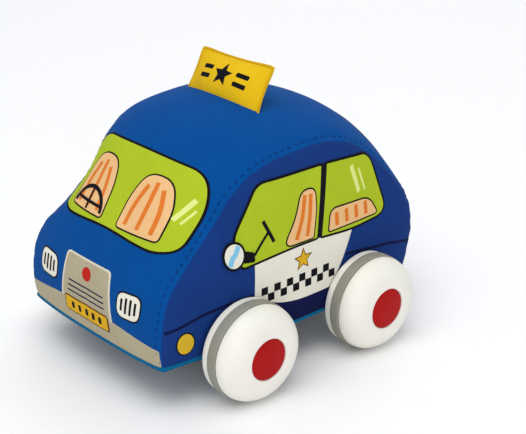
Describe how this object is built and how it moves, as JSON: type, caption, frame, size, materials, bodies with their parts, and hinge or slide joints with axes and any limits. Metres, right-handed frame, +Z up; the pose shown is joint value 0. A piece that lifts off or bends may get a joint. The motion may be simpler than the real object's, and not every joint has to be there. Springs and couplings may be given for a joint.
{
  "type": "toy police car",
  "caption": "Soft stuffed toy police car with a sewn cloth body, a roof sign pillow and domed wheels on axles, driven by a pull-back spring motor.",
  "frame": {"origin": "on the floor, under the middle of the car", "axes": "+X forwards, +Y to the car's left, +Z up"},
  "size_m": [0.126, 0.1152, 0.1051],
  "materials": {
    "cover_blue": "printed woven cloth over thin padding",
    "cover_side": "printed woven cloth over thin padding",
    "base_cloth": "plain woven cloth",
    "sign_yellow": "printed woven cloth",
    "filling": "fibre",
    "chassis_black": "moulded matte",
    "case_grey": "moulded matte",
    "gear_white": "moulded satin",
    "steel": "satin",
    "wheel_white": "moulded satin",
    "tyre_grey": "matte",
    "hub_red": "glossy"
  },
  "bodies": {
    "car_body": {"top_panel": "cover_blue", "left_side_panel": "cover_side", "right_side_panel": "cover_side", "base_panel": "base_cloth", "body_filling": "filling", "sign_front_panel": "sign_yellow", "sign_back_panel": "sign_yellow", "sign_filling": "filling", "chassis_tray": "chassis_black", "axle_tubes": "chassis_black", "clamp_frame": "chassis_black", "chassis_screws": "steel", "motor_case_left": "case_grey", "motor_case_right": "case_grey", "case_screws": "steel", "intermediate_pin": "steel", "mainspring": "steel"},
    "front_wheelset": {"front_axle": "steel", "front_left_wheel_inner": "wheel_white", "front_left_tyre": "tyre_grey", "front_left_wheel_outer": "wheel_white", "front_left_hub_cap": "hub_red", "front_right_wheel_inner": "wheel_white", "front_right_tyre": "tyre_grey", "front_right_wheel_outer": "wheel_white", "front_right_hub_cap": "hub_red"},
    "rear_wheelset": {"rear_axle": "steel", "drive_pinion": "gear_white", "rear_left_wheel_inner": "wheel_white", "rear_left_tyre": "tyre_grey", "rear_left_wheel_outer": "wheel_white", "rear_left_hub_cap": "hub_red", "rear_right_wheel_inner": "wheel_white", "rear_right_tyre": "tyre_grey", "rear_right_wheel_outer": "wheel_white", "rear_right_hub_cap": "hub_red"},
    "intermediate_gear": {"intermediate_gear": "gear_white"},
    "spring_gear": {"spring_gear": "gear_white"}
  },
  "joints": [
    {"name": "front_axle_spin", "type": "hinge", "parent": "car_body", "child": "front_wheelset", "pos_m": [0.0285, 0, 0.0178], "axis": [0, 1, 0], "continuous": true},
    {"name": "rear_axle_spin", "type": "hinge", "parent": "car_body", "child": "rear_wheelset", "pos_m": [-0.0285, 0, 0.0178], "axis": [0, 1, 0], "continuous": true},
    {"name": "intermediate_gear_spin", "type": "hinge", "parent": "car_body", "child": "intermediate_gear", "pos_m": [-0.02248, 0, 0.0264], "axis": [0, 1, 0], "continuous": true},
    {"name": "spring_gear_spin", "type": "hinge", "parent": "car_body", "child": "spring_gear", "pos_m": [-0.03407, 0, 0.02951], "axis": [0, 1, 0], "continuous": true, "deforming": ["mainspring"]}
  ],
  "couplings": [
    {"joint": "intermediate_gear_spin", "follows": "rear_axle_spin", "ratio": -0.4},
    {"joint": "spring_gear_spin", "follows": "rear_axle_spin", "ratio": 0.13333}
  ]
}
